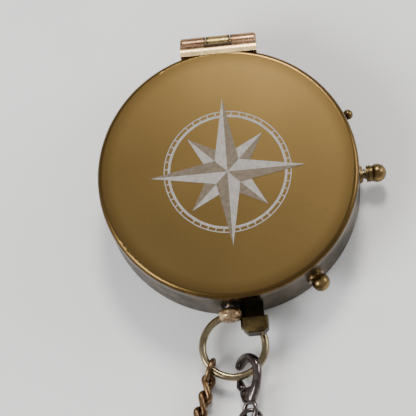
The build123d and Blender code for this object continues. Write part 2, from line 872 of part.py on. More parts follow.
def on_bow(angle):
    """Point on the bow ring's wire, at an angle from its far end."""
    return bow_plane.from_local_coords((bow_radius * cos(radians(angle)), bow_radius * sin(radians(angle)), 0))


with BuildPart() as bow_ring:
    with Locations(bow_plane.location):
        Torus(bow_radius, bow_wire_radius)
finished(bow_ring, "bow_ring")

# End ring that holds the chain on the bow ring, standing upright
chain_direction = Vector(*chain_heading, 0).normalized()
end_ring_direction = chain_direction.rotate(Axis.Z, end_ring_turn)
end_ring_across = Z_AXIS.cross(end_ring_direction)
end_ring_inner = end_ring_radius - end_ring_wire_radius
end_ring_reach = end_ring_inner - link_wire_radius - running_gap
chain_hook = on_bow(chain_bow_angle)
chain_ring_centre = chain_hook + end_ring_direction * (end_ring_inner - bow_hook_room)
chain_ring_lift = end_ring_radius + end_ring_wire_radius + seat_gap - chain_ring_centre.Z
chain_ring_centre = chain_ring_centre + Z_AXIS * chain_ring_lift

with BuildPart() as chain_end_ring:
    with Locations(Plane(origin=chain_ring_centre, x_dir=end_ring_direction, z_dir=end_ring_across).location):
        Torus(end_ring_radius, end_ring_wire_radius)
finished(chain_end_ring, "chain_end_ring")

# Clasp: hooked body with an eye, a sprung gate lever on a pin, rolled on its side round the bow ring's wire
clasp_forward = Vector(*clasp_heading, 0).normalized()
clasp_side = clasp_forward.cross(Z_AXIS)
clasp_normal = clasp_side * sin(radians(clasp_roll)) - Z_AXIS * cos(radians(clasp_roll))
clasp_hook_side = clasp_normal.cross(clasp_forward)
clasp_origin = on_bow(clasp_bow_angle) - clasp_forward * clasp_ring_u - clasp_hook_side * clasp_ring_v
clasp_plane = Plane(origin=clasp_origin, x_dir=clasp_forward, z_dir=clasp_normal)


def teardrop(wide_u, wide_radius, narrow_u, narrow_radius):
    """Two circles on the clasp's middle line and what lies between them."""
    with BuildSketch() as ends:
        with Locations((wide_u, 0)):
            Circle(wide_radius)
        with Locations((narrow_u, 0)):
            Circle(narrow_radius)
    return make_hull(ends.edges(), mode=Mode.PRIVATE)


clasp_outline = teardrop(clasp_hook_u, clasp_hook_radius, clasp_tail_u, clasp_tail_radius)
clasp_opening = teardrop(clasp_opening_u, clasp_opening_radius, clasp_throat_u, clasp_throat_radius)

with BuildPart() as clasp_body:
    with BuildSketch(clasp_plane):
        add(clasp_outline)
        add(clasp_opening, mode=Mode.SUBTRACT)
        with Locations(((clasp_gate_start + clasp_gate_end) / 2, -clasp_gate_inner - clasp_hook_radius)):
            Rectangle(clasp_gate_end - clasp_gate_start, 2 * clasp_hook_radius, mode=Mode.SUBTRACT)
        Circle(clasp_eye_radius)
    extrude(amount=clasp_hook_thickness / 2, both=True)
    with BuildSketch(clasp_plane):
        add(clasp_outline)
        add(clasp_opening, mode=Mode.SUBTRACT)
        with Locations((clasp_body_end / 2 + clasp_eye_hole_radius / 2, 0)):
            Rectangle(clasp_body_end - clasp_eye_hole_radius, 2 * clasp_hook_radius, mode=Mode.INTERSECT)
    extrude(amount=clasp_body_thickness / 2, both=True)
    with BuildSketch(clasp_plane):
        Circle(clasp_eye_hole_radius)
    extrude(amount=clasp_body_thickness, both=True, mode=Mode.SUBTRACT)
    with BuildSketch(clasp_plane):
        with Locations((clasp_pivot_u, -clasp_pivot_v)):
            Circle(lever_boss_radius + moving_gap)
        slot_start = clasp_pivot_u - lever_boss_radius - moving_gap
        with Locations(((slot_start + clasp_gate_start) / 2, -clasp_pivot_v - clasp_hook_radius)):
            Rectangle(clasp_gate_start - slot_start, 2 * clasp_hook_radius)
        with Locations(((clasp_pivot_u + clasp_gate_start) / 2, -clasp_pivot_v)):
            Rectangle(clasp_gate_start - clasp_pivot_u, 2 * (lever_boss_radius + moving_gap))
    extrude(amount=clasp_lever_slot / 2, both=True, mode=Mode.SUBTRACT)
    with BuildSketch(clasp_plane):
        with Locations((clasp_pivot_u, -clasp_pivot_v)):
            Circle(clasp_pin_radius + seat_gap)
    extrude(amount=clasp_body_thickness, both=True, mode=Mode.SUBTRACT)
finished(clasp_body, "clasp_body")

with BuildPart() as clasp_pin:
    with BuildSketch(clasp_plane):
        with Locations((clasp_pivot_u, -clasp_pivot_v)):
            Circle(clasp_pin_radius)
    extrude(amount=clasp_body_thickness / 2, both=True)
finished(clasp_pin, "clasp_pin")

with BuildPart() as clasp_lever:
    with BuildSketch(clasp_plane):
        with Locations((clasp_pivot_u, -clasp_pivot_v)):
            Circle(lever_boss_radius)
        outline(
            (clasp_pivot_u - lever_boss_radius / 2, -clasp_pivot_v - lever_boss_radius / 2),
            (clasp_pivot_u + lever_boss_radius / 2, -clasp_pivot_v),
            (clasp_gate_start, -clasp_lever_throat),
            (clasp_lever_tip, -clasp_lever_inner),
            (clasp_lever_tip, -clasp_lever_outer),
            (clasp_gate_start, -clasp_lever_inner - moving_gap),
        )
        with Locations((clasp_trigger_u, -clasp_trigger_v)):
            Circle(clasp_trigger_radius)
        with Locations((clasp_pivot_u, -clasp_pivot_v)):
            Circle(clasp_pin_radius + running_gap, mode=Mode.SUBTRACT)
    extrude(amount=clasp_lever_thickness / 2, both=True)
finished(clasp_lever, "clasp_lever")

# End ring that joins the clasp's eye to the chain, sloping down to it
end_ring_low = end_ring_direction * cos(radians(end_ring_dip)) - Z_AXIS * sin(radians(end_ring_dip))
route_start = chain_ring_centre + end_ring_low * end_ring_reach
tail_direction = clasp_forward * -cos(radians(tail_slope)) - Z_AXIS * sin(radians(tail_slope))
tail_ring_centre = clasp_origin + tail_direction * end_ring_radius
route_end = tail_ring_centre + tail_direction * end_ring_reach

with BuildPart() as clasp_end_ring:
    tail_up = tail_direction.cross(clasp_side)
    with Locations(Plane(origin=tail_ring_centre, x_dir=tail_direction, z_dir=tail_up).location):
        Torus(end_ring_radius, end_ring_wire_radius)
finished(clasp_end_ring, "clasp_end_ring")

# Chain: oval links, each twisted a quarter turn so that the next one hooks in square to it
lead_in = Vector(route_start.X, route_start.Y, chain_height) + chain_direction * chain_lead
lead_out = Vector(route_end.X, route_end.Y, chain_height) - clasp_forward * chain_lead
route = [route_start, lead_in] + [Vector(x, y, chain_height) for x, y in chain_points] + [lead_out, route_end]
route_radii = []
for before, corner, after in zip(route, route[1:], route[2:]):
    turn = (corner - before).get_angle(after - corner)
    shorter = min((corner - before).length, (after - corner).length)
    route_radii.append(arc_share * shorter / tan(radians(turn / 2)))

with BuildLine() as chain_route:
    FilletPolyline(*route, radius=route_radii)
chain_path = chain_route.wire()
chain_length = chain_path.length
longest_pitch = link_length - 2 * link_wire_radius - link_gap
link_count = ceil((chain_length - link_length) / longest_pitch) + 1
link_pitch = (chain_length - link_length) / (link_count - 1)

half_length = link_length / 2
half_width = link_width / 2


def link_section(turn):
    """Plane square to the link's wire, at an angle round the link from its far end."""
    straight = half_length - half_width
    shift = straight if turn < 90 else -straight
    along = half_width * cos(radians(turn)) + shift
    out = half_width * sin(radians(turn))
    twist = radians(link_twist * (along / link_length + 0.5))
    side = Vector(cos(twist), sin(twist), 0)
    outward = side * sin(radians(turn)) + Z_AXIS * cos(radians(turn))
    onward = side * cos(radians(turn)) - Z_AXIS * sin(radians(turn))
    return Plane(origin=side * out + Z_AXIS * along, x_dir=outward, z_dir=onward)


with BuildPart() as half_link:
    for turn in link_stations:
        with BuildSketch(link_section(turn)):
            RegularPolygon(link_wire_radius, link_sides)
    loft(ruled=True)

with BuildPart() as link:
    with Locations(Location((0, 0, 0)), Location((0, 0, 0), (0, 0, 180))):
        add(half_link.part)

link_places = []
for index in range(link_count):
    share = (half_length + index * link_pitch) / chain_length
    onward = chain_path.tangent_at(share)
    link_places.append(Plane(chain_path.position_at(share), x_dir=Z_AXIS.cross(onward), z_dir=onward).location)

with BuildPart() as chain_links:
    with Locations(*link_places):
        add(link.part)
finished(chain_links, "chain_links")
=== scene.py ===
import math
from bisect import bisect_left

import bpy
from mathutils import Matrix, Vector, noise


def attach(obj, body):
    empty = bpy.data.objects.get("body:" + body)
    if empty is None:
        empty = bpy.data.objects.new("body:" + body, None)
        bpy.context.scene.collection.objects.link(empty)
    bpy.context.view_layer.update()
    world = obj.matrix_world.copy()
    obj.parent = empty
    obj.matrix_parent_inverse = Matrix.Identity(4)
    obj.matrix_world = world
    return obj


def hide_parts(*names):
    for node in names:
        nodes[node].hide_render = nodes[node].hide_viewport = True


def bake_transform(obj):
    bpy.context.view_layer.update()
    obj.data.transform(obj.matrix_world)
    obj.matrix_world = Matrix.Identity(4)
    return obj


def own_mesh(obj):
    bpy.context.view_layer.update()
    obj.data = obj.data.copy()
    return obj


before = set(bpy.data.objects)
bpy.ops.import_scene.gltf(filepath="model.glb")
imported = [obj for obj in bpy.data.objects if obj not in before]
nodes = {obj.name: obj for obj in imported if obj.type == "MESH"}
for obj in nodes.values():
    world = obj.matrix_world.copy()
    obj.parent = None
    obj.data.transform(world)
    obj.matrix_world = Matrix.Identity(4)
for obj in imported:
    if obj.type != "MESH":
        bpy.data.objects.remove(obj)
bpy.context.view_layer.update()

# Lengths are in millimetres, and MM turns them into the scene's metres
MM = 0.001
EAST, NORTH, SOUTH, UP = (Vector(v) for v in ((1, 0, 0), (0, 1, 0), (0, -1, 0), (0, 0, 1)))


# Materials
MIX_FIRST, MIX_SECOND, MIX_RESULT = 6, 7, 2


class Graph:
    """Small helper round one material's node tree."""

    def __init__(self, name):
        self.material = bpy.data.materials.new(name)
        self.material.use_nodes = True
        self.tree = self.material.node_tree
        self.shader = self.tree.nodes["Principled BSDF"]
        self.place = self.add("ShaderNodeTexCoord").outputs["Object"]
        split = self.add("ShaderNodeSeparateXYZ")
        self.feed(split.inputs[0], self.place)
        self.x, self.y, self.z = split.outputs
        level = self.add("ShaderNodeCombineXYZ")
        self.feed(level.inputs[0], self.x)
        self.feed(level.inputs[1], self.y)
        length = self.add("ShaderNodeVectorMath", operation="LENGTH")
        self.feed(length.inputs[0], level.outputs[0])
        self.radius = length.outputs["Value"]
        turned = self.add("ShaderNodeCombineXYZ")
        self.feed(turned.inputs[0], self.radius)
        self.feed(turned.inputs[2], self.z)
        self.turned = turned.outputs[0]

    def add(self, kind, **settings):
        node = self.tree.nodes.new(kind)
        for key, value in settings.items():
            setattr(node, key, value)
        return node

    def feed(self, socket, value):
        """Link a socket to another one, or set its value."""
        if hasattr(value, "is_output"):
            self.tree.links.new(value, socket)
        else:
            socket.default_value = value

    def noise(self, scale, detail=4.0, rough=0.55, stretch=None, source=None):
        """Grey noise in the object's own space; stretch scales the three axes first."""
        node = self.add("ShaderNodeTexNoise")
        source = source or self.place
        if stretch:
            mapping = self.add("ShaderNodeMapping")
            mapping.inputs["Scale"].default_value = stretch
            self.feed(mapping.inputs["Vector"], source)
            source = mapping.outputs["Vector"]
        self.feed(node.inputs["Vector"], source)
        node.inputs["Scale"].default_value = scale
        node.inputs["Detail"].default_value = detail
        node.inputs["Roughness"].default_value = rough
        return node.outputs["Fac"]

    def ramp(self, value, stops):
        """Ramp between two stops, each a position with a grey or a colour."""
        node = self.add("ShaderNodeValToRGB")
        self.feed(node.inputs["Fac"], value)
        for element, (position, colour) in zip(node.color_ramp.elements, stops):
            element.position = position
            colour = colour if isinstance(colour, tuple) else (colour,) * 3
            element.color = (*colour, 1.0)
        return node.outputs["Color"]

    def span(self, value, low, high):
        """Zero to one as the value goes from low to high."""
        node = self.add("ShaderNodeMapRange", interpolation_type="SMOOTHSTEP")
        self.feed(node.inputs["Value"], value)
        node.inputs["From Min"].default_value = low
        node.inputs["From Max"].default_value = high
        return node.outputs["Result"]

    def mix(self, share, first, second, blend="MIX"):
        node = self.add("ShaderNodeMix", data_type="RGBA", blend_type=blend)
        self.feed(node.inputs["Factor"], share)
        for index, value in ((MIX_FIRST, first), (MIX_SECOND, second)):
            self.feed(node.inputs[index], (*value, 1.0) if isinstance(value, tuple) else value)
        return node.outputs[MIX_RESULT]

    def math(self, operation, first, second=0.0):
        node = self.add("ShaderNodeMath", operation=operation)
        self.feed(node.inputs[0], first)
        self.feed(node.inputs[1], second)
        return node.outputs[0]

    def edges(self, radius):
        """Bright on sharp outer edges: how far a rounded normal leaves the true one."""
        bevel = self.add("ShaderNodeBevel", samples=4)
        bevel.inputs["Radius"].default_value = radius
        geometry = self.add("ShaderNodeNewGeometry")
        dot = self.add("ShaderNodeVectorMath", operation="DOT_PRODUCT")
        self.feed(dot.inputs[0], bevel.outputs["Normal"])
        self.feed(dot.inputs[1], geometry.outputs["Normal"])
        leaves = self.math("SUBTRACT", 1.0, dot.outputs["Value"])
        return self.ramp(leaves, [(0.02, 0.0), (0.2, 1.0)])

    def bump(self, height, strength, distance):
        """Bump laid over the bumps already there."""
        node = self.add("ShaderNodeBump")
        node.inputs["Strength"].default_value = strength
        node.inputs["Distance"].default_value = distance
        self.feed(node.inputs["Height"], height)
        normal = self.shader.inputs["Normal"]
        if normal.links:
            self.feed(node.inputs["Normal"], normal.links[0].from_socket)
        self.feed(normal, node.outputs["Normal"])

    def paint(self, colour):
        self.feed(self.shader.inputs["Base Color"], colour)

    def polish(self, low, high, scale):
        """Roughness that wanders between two values."""
        wander = self.ramp(self.noise(scale, detail=5.0), [(0.3, low), (0.7, high)])
        self.feed(self.shader.inputs["Roughness"], wander)


def srgb(*channels):
    """Linear colour of an 8-bit screen colour."""
    return tuple(
        ((c / 255 + 0.055) / 1.055) ** 2.4 if c > 10 else c / 255 / 12.92 for c in channels
    )


def metal(name, light, dark, rough, patina, wear=None, grain=0.0, shade=None):
    """Tarnished metal: patches of two tones, dark specks, worn edges, turning marks, scratches."""
    g = Graph(name)
    g.shader.inputs["Metallic"].default_value = 1.0
    patches = g.noise(patina, detail=6.0, rough=0.62)
    colour = g.mix(g.ramp(patches, [(0.36, 0.0), (0.66, 1.0)]), dark, light)
    specks = g.noise(patina * 9, detail=3.0, rough=0.6)
    colour = g.mix(0.8, colour, g.ramp(specks, [(0.34, 0.74), (0.5, 1.0)]), "MULTIPLY")
    if wear:
        colour = g.mix(g.math("MULTIPLY", g.edges(0.25 * MM), 0.7), colour, wear)
    if shade:
        colour = shade(g, colour)
    g.paint(colour)
    g.polish(*rough, patina * 2.3)
    if grain:
        turning = g.noise(1600.0, detail=5.0, rough=0.6, source=g.turned)
        g.bump(turning, strength=grain, distance=0.03 * MM)
    g.bump(g.noise(2600.0, detail=3.0, rough=0.5), strength=0.1, distance=0.02 * MM)
    return g.material


def lid_finish():
    """Satin antique brass, clouded a little on top, darker towards the top's edge, with painted
    shade on the rim.
    """
    g = Graph("lid_brass")
    g.shader.inputs["Metallic"].default_value = 1.0
    clouds = g.ramp(g.noise(45.0, detail=2.0, rough=0.45), [(0.25, 0.0), (0.75, 1.0)])
    top = g.mix(clouds, srgb(126, 102, 60), srgb(138, 112, 67))
    specks = g.noise(1500.0, detail=3.0, rough=0.6)
    top = g.mix(0.7, top, g.ramp(specks, [(0.28, 0.92), (0.46, 1.0)]), "MULTIPLY")
    # Darker towards the edge of the top
    inner = g.math("SUBTRACT", 1.0, g.span(g.radius, 22.0 * MM, 26.0 * MM))
    top = g.mix(inner, srgb(104, 82, 46), top)
    # Painted shade on the lid's rim and side, mottled between two dark browns
    rim_mottle = g.noise(420.0, detail=5.0, rough=0.6)
    rim = g.ramp(rim_mottle, [(0.35, srgb(58, 42, 20)), (0.65, srgb(94, 72, 38))])
    g.paint(g.mix(g.span(g.z, 13.0 * MM, 13.72 * MM), rim, top))
    # Kept above 0.274, because the denoiser draws a faint line where the roughness crosses that
    satin = g.ramp(g.noise(45.0, detail=2.0, rough=0.4), [(0.2, 0.277), (0.8, 0.29)])
    g.feed(g.shader.inputs["Roughness"], satin)
    brushing = g.noise(1400.0, detail=5.0, rough=0.6, stretch=(1.0, 14.0, 14.0))
    g.bump(brushing, strength=0.12, distance=0.02 * MM)
    g.bump(g.noise(3000.0, detail=3.0, rough=0.5), strength=0.08, distance=0.02 * MM)
    return g.material


# Painted shade, with some dirt, in the hinge's joints
HINGE_SHADE_AND_DIRT = srgb(34, 24, 14)


def strap_shade(g, colour):
    """Painted highlight on the leaf, and painted shade with dirt beside the joints."""
    # Painted highlight: the leaf made pale where it bends down from the lid
    colour = g.mix(g.span(g.y, 26.9 * MM, 26.0 * MM), colour, srgb(218, 188, 136))
    # Painted shade with dirt beside the joints, on the barrels only
    beside = g.span(g.math("ABSOLUTE", g.x), 3.1 * MM, 2.6 * MM)
    beside = g.math("MULTIPLY", beside, g.span(g.y, 26.3 * MM, 26.8 * MM))
    return g.mix(g.math("MULTIPLY", beside, 0.8), colour, HINGE_SHADE_AND_DIRT)


def knuckle_shade(g, colour):
    """Painted shade and dirt at both ends, beside the joints."""
    beside = g.span(g.math("ABSOLUTE", g.x), 1.75 * MM, 2.3 * MM)
    return g.mix(g.math("MULTIPLY", beside, 0.85), colour, HINGE_SHADE_AND_DIRT)


def lug_shade(g, colour):
    """Painted shadow of the lid on the neck, behind the head."""
    # Painted shadow: the neck darkened where the lid shades it
    neck = g.span(g.y, -28.9 * MM, -28.0 * MM)
    return g.mix(g.math("MULTIPLY", neck, 0.75), colour, srgb(24, 22, 15))


lid_brass = lid_finish()
case_brass = metal(
    "case_brass", srgb(94, 79, 56), srgb(56, 46, 32), rough=(0.34, 0.48), patina=160.0,
    wear=srgb(132, 112, 80), grain=0.3,
)
strap_brass = metal(
    "strap_brass", srgb(182, 146, 112), srgb(134, 102, 74), rough=(0.22, 0.34), patina=240.0,
    wear=srgb(226, 204, 168), grain=0.1, shade=strap_shade,
)
hinge_brass = metal(
    "hinge_brass", srgb(190, 168, 112), srgb(140, 118, 70), rough=(0.22, 0.34), patina=240.0,
    wear=srgb(232, 214, 170), grain=0.1, shade=knuckle_shade,
)
knob_brass = metal(
    "knob_brass", srgb(150, 124, 82), srgb(88, 70, 42), rough=(0.24, 0.38), patina=420.0,
    wear=srgb(206, 180, 132),
)
worn_brass = metal(
    "worn_brass", srgb(222, 194, 152), srgb(138, 104, 72), rough=(0.26, 0.42), patina=760.0,
    wear=srgb(232, 212, 176),
)
lug_brass = metal(
    "lug_brass", srgb(84, 71, 44), srgb(46, 38, 22), rough=(0.32, 0.46), patina=380.0,
    wear=srgb(124, 106, 72), grain=0.15, shade=lug_shade,
)
bow_brass = metal(
    "bow_brass", srgb(168, 153, 122), srgb(112, 98, 72), rough=(0.18, 0.3), patina=300.0,
    wear=srgb(212, 200, 168),
)
chain_copper = metal(
    "chain_copper", srgb(140, 111, 79), srgb(82, 61, 42), rough=(0.24, 0.38), patina=480.0
)
clasp_gunmetal = metal(
    "clasp_gunmetal", srgb(128, 117, 113), srgb(74, 65, 63), rough=(0.14, 0.26), patina=300.0
)
works_brass = metal(
    "works_brass", srgb(206, 172, 98), srgb(172, 136, 72), rough=(0.22, 0.34), patina=220.0,
    wear=srgb(236, 210, 150), grain=0.3,
)
spring_steel = metal(
    "spring_steel", srgb(176, 176, 178), srgb(132, 132, 136), rough=(0.22, 0.36), patina=400.0
)


def matt(name, light, dark, scale, rough=(0.5, 0.65), metallic=0.0, grain=0.0):
    """Matt printed or etched surface with a fine speckle."""
    g = Graph(name)
    g.shader.inputs["Metallic"].default_value = metallic
    speckle = g.ramp(g.noise(scale, detail=5.0, rough=0.65), [(0.35, 0.0), (0.65, 1.0)])
    g.paint(g.mix(speckle, dark, light))
    g.polish(*rough, scale)
    if grain:
        turning = g.noise(2200.0, detail=5.0, rough=0.6, source=g.turned)
        g.bump(turning, strength=grain, distance=0.02 * MM)
    g.bump(g.noise(scale * 4, detail=3.0, rough=0.5), strength=0.15, distance=0.02 * MM)
    return g.material


dial_silver = matt(
    "dial_silver", srgb(226, 222, 208), srgb(204, 199, 182), 300.0,
    rough=(0.42, 0.55), metallic=0.25, grain=0.35,
)
ring_silver = matt(
    "ring_silver", srgb(212, 207, 192), srgb(188, 182, 166), 300.0,
    rough=(0.42, 0.55), metallic=0.25, grain=0.35,
)
dial_ink = matt("dial_ink", srgb(44, 40, 38), srgb(24, 22, 22), 900.0)
etch_pale = matt(
    "etch_pale", srgb(164, 158, 153), srgb(140, 134, 128), 1400.0, rough=(0.5, 0.62), metallic=0.35
)
etch_dark = matt(
    "etch_dark", srgb(116, 104, 88), srgb(94, 82, 66), 1400.0, rough=(0.46, 0.6), metallic=0.45
)


def glass_finish():
    """Clear glass with little gloss, so that the dial shows through the lights' reflections."""
    g = Graph("crystal_glass")
    g.paint(g.ramp(g.noise(80.0), [(0.3, srgb(240, 248, 246)), (0.7, srgb(250, 253, 252))]))
    g.shader.inputs["Transmission Weight"].default_value = 1.0
    g.shader.inputs["IOR"].default_value = 1.5
    g.shader.inputs["Specular IOR Level"].default_value = 0.06
    g.polish(0.0, 0.04, 120.0)
    return g.material


def needle_finish():
    """Blued north half, bright steel south half."""
    g = Graph("needle_steel")
    g.shader.inputs["Metallic"].default_value = 1.0
    streaks = g.noise(900.0, detail=4.0, rough=0.6, stretch=(6.0, 0.6, 1.0))
    north = g.ramp(streaks, [(0.3, srgb(24, 32, 72)), (0.7, srgb(48, 66, 128))])
    south = g.ramp(streaks, [(0.3, srgb(186, 186, 188)), (0.7, srgb(222, 222, 222))])
    g.paint(g.mix(g.span(g.y, -0.06 * MM, 0.06 * MM), south, north))
    g.polish(0.2, 0.32, 500.0)
    g.bump(streaks, strength=0.1, distance=0.02 * MM)
    return g.material


def jewel_finish():
    """Polished red jewel."""
    g = Graph("jewel_ruby")
    tones = [(0.3, srgb(140, 10, 34)), (0.7, srgb(190, 30, 60))]
    g.paint(g.ramp(g.noise(1400.0, detail=3.0), tones))
    g.shader.inputs["Transmission Weight"].default_value = 0.4
    g.shader.inputs["IOR"].default_value = 1.76
    g.polish(0.04, 0.1, 900.0)
    return g.material


finish_of = {
    case_brass: ["case_cup"],
    lid_brass: ["lid_shell"],
    strap_brass: ["lid_hinge_strap"],
    hinge_brass: ["case_hinge_knuckle"],
    knob_brass: ["clamp_bush", "clamp_button", "upper_stud", "lower_ball_stud"],
    lug_brass: ["release_bush", "ring_lug"],
    bow_brass: ["bow_ring"],
    clasp_gunmetal: ["clasp_pin", "clasp_end_ring"],
    works_brass: [
        "hinge_pin", "lid_catch_lip", "pivot_post", "bezel_ring",
        "lever_bracket", "lifter_collar", "needle_cap",
    ],
    spring_steel: ["clamp_clip", "lid_catch", "lever_pin", "lifter_lever"],
    dial_silver: ["dial_plate"],
    ring_silver: ["degree_ring"],
    glass_finish(): ["crystal"],
    needle_finish(): ["needle_blade"],
    jewel_finish(): ["needle_jewel"],
}
for material, names in finish_of.items():
    for name in names:
        nodes[name].data.materials.clear()
        nodes[name].data.materials.append(material)

# Small rounds on the lug's edges, worn by the hand
LUG_ROUND = 0.12
lug = nodes["ring_lug"]
weld = lug.modifiers.new("weld", "WELD")
weld.merge_threshold = 0.001 * MM
flat = lug.modifiers.new("flat", "DECIMATE")
flat.decimate_type = "DISSOLVE"
flat.angle_limit = math.radians(0.6)
rounded = lug.modifiers.new("rounded", "BEVEL")
rounded.width = LUG_ROUND * MM
rounded.segments = 3
rounded.limit_method = "ANGLE"
rounded.angle_limit = math.radians(48.0)
even = lug.modifiers.new("even", "WEIGHTED_NORMAL")
even.keep_sharp = True


# Objects and meshes
SHARP_ANGLE = math.radians(50.0)


def put_in_scene(name, data):
    """New object that holds this data."""
    item = bpy.data.objects.new(name, data)
    bpy.context.scene.collection.objects.link(item)
    return item


def mesh_piece(name, points, faces, materials, slot, body=None, smooth=True, tones=None):
    """New mesh object from points in millimetres; tones gives each face's material."""
    mesh = bpy.data.meshes.new(name)
    mesh.from_pydata([tuple(MM * c for c in p) for p in points], [], faces)
    for material in materials:
        mesh.materials.append(material)
    mesh.polygons.foreach_set("use_smooth", [smooth] * len(mesh.polygons))
    if smooth:
        mesh.set_sharp_from_angle(angle=SHARP_ANGLE)
    if tones:
        mesh.polygons.foreach_set("material_index", tones)
    mesh.update()
    piece = put_in_scene(name, mesh)
    if body:
        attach(piece, body)
    return piece


def mesh_of(curve):
    """Mesh of a curve, which comes from an object that is removed again."""
    holder = put_in_scene(curve.name, curve)
    bpy.context.view_layer.update()
    mesh = bpy.data.meshes.new_from_object(holder)
    bpy.data.objects.remove(holder)
    return mesh


# Print and etching
PRINT_LIFT = 0.03
RING_STEPS = 120
WORDS_BOLD = 0.025


class Plates:
    """Thin flat plates that lie on a surface, gathered into one mesh."""

    def __init__(self, surface, thickness):
        self.surface = surface
        self.thickness = thickness
        self.points, self.faces, self.tones = [], [], []

    def height(self, x, y):
        return self.surface(math.hypot(x, y))

    def add(self, border, tone=0, lift=0.0):
        """One plate from its border, counter-clockwise from above."""
        base, count = len(self.points), len(border)
        self.points.extend((x, y, self.height(x, y) + lift) for x, y in border)
        self.points.extend((x, y, self.height(x, y) - self.thickness) for x, y in border)
        self.faces.append(tuple(base + i for i in range(count)))
        for i in range(count):
            j = (i + 1) % count
            self.faces.append((base + i, base + count + i, base + count + j, base + j))
        self.tones.extend([tone] * (count + 1))

    def ring(self, inner, outer):
        for step in range(RING_STEPS):
            a, b = (2 * math.pi * (step + k) / RING_STEPS for k in (0, 1))
            corners = ((inner, a), (outer, a), (outer, b), (inner, b))
            self.add([(r * math.cos(t), r * math.sin(t)) for r, t in corners])

    def tick(self, angle, inner, outer, width):
        along = Vector((math.cos(angle), math.sin(angle)))
        side = Vector((-along.y, along.x)) * (width / 2)
        near, far = along * inner, along * outer
        self.add([tuple(c) for c in (near - side, far - side, far + side, near + side)])

    def star(self, tip, waist, turn, lift):
        """Four points, each split into a pale and a dark half."""
        for quarter in range(4):
            angle = math.radians(turn) + quarter * math.pi / 2
            far = (tip * math.cos(angle), tip * math.sin(angle))
            for tone, side in ((0, 1), (1, -1)):
                bend = angle + side * math.pi / 4
                near = (waist * math.cos(bend), waist * math.sin(bend))
                self.add([(0, 0), far, near] if side > 0 else [(0, 0), near, far], tone, lift)

    def words(self, text, size, angle, reach):
        """Flat characters on the surface, their foot towards the middle."""
        curve = bpy.data.curves.new("words", "FONT")
        curve.body = text
        curve.size = size
        curve.offset = WORDS_BOLD * size
        curve.align_x = "CENTER"
        curve.align_y = "CENTER"
        mesh = mesh_of(curve)
        swing = Matrix.Rotation(angle - math.pi / 2, 2)
        middle = Vector((reach * math.cos(angle), reach * math.sin(angle)))
        base = len(self.points)
        for v in mesh.vertices:
            x, y = middle + swing @ v.co.to_2d()
            self.points.append((x, y, self.height(x, y)))
        for polygon in mesh.polygons:
            self.faces.append(tuple(base + i for i in polygon.vertices))
            self.tones.append(0)
        bpy.data.meshes.remove(mesh)


# Wind rose etched on the lid, a generic one
LID_TOP, LID_CROWN, LID_RADIUS = 14.0, 0.3, 26.0
ROSE_INNER, ROSE_OUTER = (11.4, 11.9), (12.5, 12.7)
ROSE_TICKS, ROSE_TICK_WIDE = 48, 0.22


def lid_top(radius):
    return LID_TOP - LID_CROWN * (radius / LID_RADIUS) ** 2 + PRINT_LIFT


rose = Plates(lid_top, thickness=0.08)
rose.ring(*ROSE_INNER)
rose.ring(*ROSE_OUTER)
for index in range(ROSE_TICKS):
    if index % 6:
        angle = 2 * math.pi * index / ROSE_TICKS
        rose.tick(angle, ROSE_INNER[1], ROSE_OUTER[0], ROSE_TICK_WIDE)
rose.star(tip=10.6, waist=3.6, turn=45.0, lift=0.03)
rose.star(tip=15.4, waist=3.4, turn=0.0, lift=0.06)
mesh_piece(
    "lid_rose", rose.points, rose.faces, [etch_pale, etch_dark], "lid_brass", "lid",
    smooth=False, tones=rose.tones,
)

# Print on the dial
DIAL_TOP, PRINT_THICK = 6.5, 0.05
DIAL_TICKS, DIAL_EDGE = 180, 21.7
DEGREES_SIZE, DEGREES_REACH = 2.3, 18.4
LETTER_SIZE, LETTER_REACH = 4.4, 12.9
dial = Plates(lambda radius: DIAL_TOP + PRINT_LIFT, PRINT_THICK)
dial.ring(DIAL_EDGE, 21.95)
dial.ring(15.6, 15.8)
for index in range(DIAL_TICKS):
    start = 20.1 if index % 5 == 0 else 20.8
    width = 0.36 if index % 15 == 0 else 0.18
    dial.tick(2 * math.pi * index / DIAL_TICKS, start, DIAL_EDGE, width)
for degrees in range(0, 360, 30):
    dial.words(str(degrees), DEGREES_SIZE, math.radians(90 - degrees), DEGREES_REACH)
for index, letter in enumerate("NESW"):
    dial.words(letter, LETTER_SIZE, math.radians(90 - 90 * index), LETTER_REACH)
dial.star(tip=6.6, waist=2.6, turn=45.0, lift=0.0)
dial.star(tip=10.4, waist=2.4, turn=0.0, lift=0.02)
mesh_piece(
    "dial_print", dial.points, dial.faces, [dial_ink, etch_dark], "dial_silver", "case",
    smooth=False, tones=dial.tones,
)

# Marks on the degree ring, which is cut away in the south for the lid's catch
RING_TOP, RING_TICKS, RING_EDGE = 9.8, 72, 24.0
CATCH_RADIUS, CATCH_X, CATCH_HALF = 23.4, -2.0, 1.8
marks = Plates(lambda radius: RING_TOP + PRINT_LIFT, PRINT_THICK)
for index in range(RING_TICKS):
    angle = 2 * math.pi * index / RING_TICKS
    if math.sin(angle) > 0 or abs(CATCH_RADIUS * math.cos(angle) - CATCH_X) > CATCH_HALF:
        start, width = (23.05, 0.3) if index % 6 == 0 else (23.35, 0.18)
        marks.tick(angle, start, RING_EDGE, width)
mesh_piece(
    "degree_marks", marks.points, marks.faces, [dial_ink], "ring_silver", "case", smooth=False
)


# Wires and skins
def circle(radius, first, second, steps, start=0.0):
    """Points of a circle about the origin, from the first unit vector to the second."""
    turns = [2 * math.pi * (start + step) / steps for step in range(steps)]
    return [radius * (math.cos(t) * first + math.sin(t) * second) for t in turns]


def square_to(along):
    """Two unit vectors square to an axis and to each other."""
    first = along.cross(UP).normalized()
    return first, along.cross(first)


def facing_out(points, faces):
    """The faces of a closed skin, turned to face out of it."""
    volume = sum(
        points[f[0]].dot(points[a].cross(points[b])) for f in faces for a, b in zip(f[1:], f[2:])
    )
    return [f[::-1] for f in faces] if volume < 0 else faces


